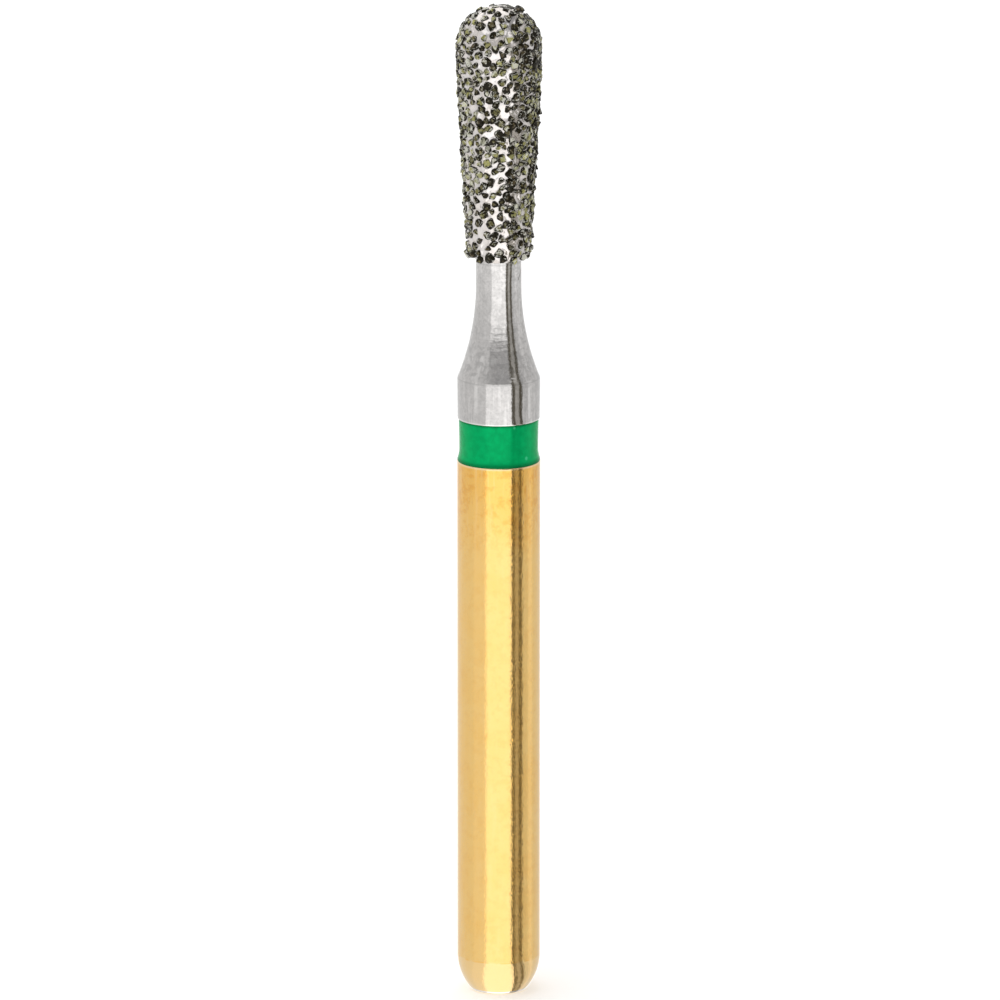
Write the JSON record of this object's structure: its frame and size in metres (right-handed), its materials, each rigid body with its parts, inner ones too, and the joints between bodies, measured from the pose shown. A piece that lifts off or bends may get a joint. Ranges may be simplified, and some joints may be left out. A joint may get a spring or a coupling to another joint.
{
  "type": "dental bur",
  "caption": "Small rotary dental bur: gold-plated friction-grip shank, green colour ring, steel collar, flare and neck, and a long pear-shaped head coated with coarse diamond grit.",
  "frame": {"origin": "centre of the flat end of the shank", "axes": "+Z along the bur's axis, from the shank towards the head"},
  "size_m": [0.0016, 0.0016, 0.0194],
  "materials": {
    "steel": "fine ground stainless steel; the shank below the colour ring is plated gold",
    "green_lacquer": "glossy green lacquer",
    "nickel": "bright electroplated nickel",
    "diamond": "olive, partly clear diamond crystals"
  },
  "bodies": {
    "root": {"steel_blank": "steel", "colour_ring": "green_lacquer", "nickel_bond": "nickel", "diamond_grit": "diamond"}
  },
  "joints": []
}
